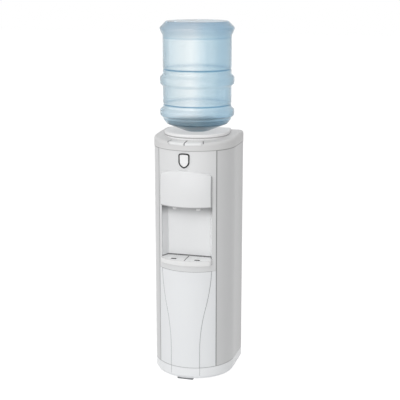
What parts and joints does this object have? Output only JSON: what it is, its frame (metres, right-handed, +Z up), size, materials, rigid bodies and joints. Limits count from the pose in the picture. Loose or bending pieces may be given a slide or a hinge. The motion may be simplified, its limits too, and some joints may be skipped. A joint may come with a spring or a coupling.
{
  "type": "top-loading water dispenser",
  "caption": "Free-standing hot and cold water dispenser with an upturned bottle on its collar, push buttons on the top cover, a recessed dispensing alcove and a pull-out drip tray.",
  "frame": {"origin": "on the floor, on the axis of the half-round front, which is also the middle of the bounding box's bottom", "axes": "+X to the right as seen from the front, front faces -Y, +Z up along the bottle's axis"},
  "size_m": [0.302, 0.328, 1.299],
  "materials": {
    "front_white": "satin moulded",
    "base_white": "satin moulded",
    "button_white": "satin moulded",
    "tap_white": "smooth moulded",
    "badge_white": "smooth",
    "side_paint": "satin powder coat",
    "back_paint": "satin powder coat",
    "cover_grey": "fine matt",
    "collar_grey": "satin moulded",
    "liner_grey": "gloss moulded",
    "tray_grey": "satin moulded",
    "bright_trim": "bright",
    "bottle_blue": "clear blown plastic",
    "cap_blue": "moulded",
    "plug_silicone": "soft",
    "silicone_tube": "soft",
    "black_rubber": "matt",
    "dark_plastic": "matt",
    "rocker_red": "smooth",
    "rocker_green": "smooth",
    "spring_steel": "bright",
    "stainless": "brushed",
    "heater_steel": "dull",
    "galvanised": "dull",
    "copper": "drawn",
    "foam": "bead foam",
    "black_paint": "satin"
  },
  "bodies": {
    "cabinet": {"alcove_liner": "liner_grey", "back_panel": "back_paint", "back_screws": "spring_steel", "badge_bezel": "bright_trim", "badge_plate": "badge_white", "base_tray": "base_white", "bottle_collar": "collar_grey", "cold_rod_spring": "spring_steel", "cold_tank": "stainless", "cold_tank_jacket": "foam", "cold_tap_body": "tap_white", "cold_thermostat": "galvanised", "cold_water_tube": "silicone_tube", "compressor": "black_paint", "compressor_mounts": "black_rubber", "condenser": "black_paint", "condenser_brackets": "dark_plastic", "cord_gland": "black_rubber", "discharge_line": "copper", "drain_outlet": "silicone_tube", "evaporator_coil": "copper", "feed_probe": "tap_white", "filter_drier": "copper", "front_foot": "base_white", "heater_band": "heater_steel", "hot_feed_tube": "silicone_tube", "hot_rod_spring": "spring_steel", "hot_tank": "stainless", "hot_tank_jacket": "foam", "hot_tap_body": "tap_white", "hot_water_tube": "silicone_tube", "inner_frame": "galvanised", "left_side_panel": "side_paint", "lower_front_panel": "front_white", "relay_cover": "dark_plastic", "right_side_panel": "side_paint", "rubber_feet": "black_rubber", "suction_line": "copper", "switch_housings": "dark_plastic", "tank_lid": "tap_white", "tap_hood": "front_white", "top_cover": "cover_grey", "upper_front_panel": "front_white"},
    "hot_button": {"hot_button": "button_white"},
    "cold_button": {"cold_button": "button_white"},
    "hot_push_rod": {"hot_push_rod": "tap_white"},
    "cold_push_rod": {"cold_push_rod": "tap_white"},
    "hot_tap_lever": {"hot_tap_lever": "tap_white"},
    "cold_tap_lever": {"cold_tap_lever": "tap_white"},
    "hot_plunger": {"hot_plunger": "plug_silicone"},
    "cold_plunger": {"cold_plunger": "plug_silicone"},
    "drip_tray": {"drip_tray": "tray_grey"},
    "left_drip_plate": {"left_drip_plate": "button_white"},
    "right_drip_plate": {"right_drip_plate": "button_white"},
    "bottle": {"bottle": "bottle_blue", "bottle_cap": "cap_blue"},
    "hot_switch_rocker": {"hot_switch_rocker": "rocker_red"},
    "cold_switch_rocker": {"cold_switch_rocker": "rocker_green"},
    "thermostat_knob": {"thermostat_knob": "dark_plastic"},
    "drain_cap": {"drain_cap": "dark_plastic"}
  },
  "joints": [
    {"name": "hot_button_hinge", "type": "hinge", "parent": "cabinet", "child": "hot_button", "pos_m": [0, -0.103, 0.881], "axis": [1, 0, 0], "range_deg": [0, 3], "stiffness_Nm_per_rad": 3, "springref_deg": -1.15},
    {"name": "hot_rod_slide", "type": "slide", "parent": "cabinet", "child": "hot_push_rod", "axis": [0, 0, -1], "range_m": [0, 0.00165], "deforming": ["hot_rod_spring"]},
    {"name": "hot_lever_hinge", "type": "hinge", "parent": "cabinet", "child": "hot_tap_lever", "pos_m": [-0.044, -0.1275, 0.704], "axis": [1, 0, 0], "range_deg": [0, 14.6]},
    {"name": "hot_plunger_slide", "type": "slide", "parent": "cabinet", "child": "hot_plunger", "axis": [0, 0, 1], "range_m": [0, 0.0019]},
    {"name": "cold_button_hinge", "type": "hinge", "parent": "cabinet", "child": "cold_button", "pos_m": [0, -0.103, 0.881], "axis": [1, 0, 0], "range_deg": [0, 3], "stiffness_Nm_per_rad": 3, "springref_deg": -1.15},
    {"name": "cold_rod_slide", "type": "slide", "parent": "cabinet", "child": "cold_push_rod", "axis": [0, 0, -1], "range_m": [0, 0.00165], "deforming": ["cold_rod_spring"]},
    {"name": "cold_lever_hinge", "type": "hinge", "parent": "cabinet", "child": "cold_tap_lever", "pos_m": [0.044, -0.1275, 0.704], "axis": [1, 0, 0], "range_deg": [0, 14.6]},
    {"name": "cold_plunger_slide", "type": "slide", "parent": "cabinet", "child": "cold_plunger", "axis": [0, 0, 1], "range_m": [0, 0.0019]},
    {"name": "drip_tray_slide", "type": "slide", "parent": "cabinet", "child": "drip_tray", "axis": [0, -1, 0], "range_m": [0, 0.11]},
    {"name": "left_drip_plate_lift", "type": "slide", "parent": "drip_tray", "child": "left_drip_plate", "axis": [0, 0, 1], "range_m": [0, 0.03]},
    {"name": "right_drip_plate_lift", "type": "slide", "parent": "drip_tray", "child": "right_drip_plate", "axis": [0, 0, 1], "range_m": [0, 0.03]},
    {"name": "bottle_lift", "type": "slide", "parent": "cabinet", "child": "bottle", "axis": [0, 0, 1], "range_m": [0, 0.4]},
    {"name": "drain_cap_pull", "type": "slide", "parent": "cabinet", "child": "drain_cap", "axis": [0, 1, 0], "range_m": [0, 0.03]},
    {"name": "hot_switch_rocker_hinge", "type": "hinge", "parent": "cabinet", "child": "hot_switch_rocker", "pos_m": [-0.062, 0.131, 0.815], "axis": [1, 0, 0], "range_deg": [-20, 0]},
    {"name": "cold_switch_rocker_hinge", "type": "hinge", "parent": "cabinet", "child": "cold_switch_rocker", "pos_m": [-0.036, 0.131, 0.815], "axis": [1, 0, 0], "range_deg": [-20, 0]},
    {"name": "thermostat_knob_hinge", "type": "hinge", "parent": "cabinet", "child": "thermostat_knob", "pos_m": [0.058, 0.14, 0.815], "axis": [0, 1, 0], "range_deg": [0, 270]}
  ],
  "couplings": [
    {"joint": "hot_rod_slide", "follows": "hot_button_hinge", "m_per_rad": 0.031},
    {"joint": "hot_lever_hinge", "follows": "hot_button_hinge", "ratio": 4.8202},
    {"joint": "hot_plunger_slide", "follows": "hot_button_hinge", "m_per_rad": 0.03577},
    {"joint": "cold_rod_slide", "follows": "cold_button_hinge", "m_per_rad": 0.031},
    {"joint": "cold_lever_hinge", "follows": "cold_button_hinge", "ratio": 4.8202},
    {"joint": "cold_plunger_slide", "follows": "cold_button_hinge", "m_per_rad": 0.03577}
  ]
}
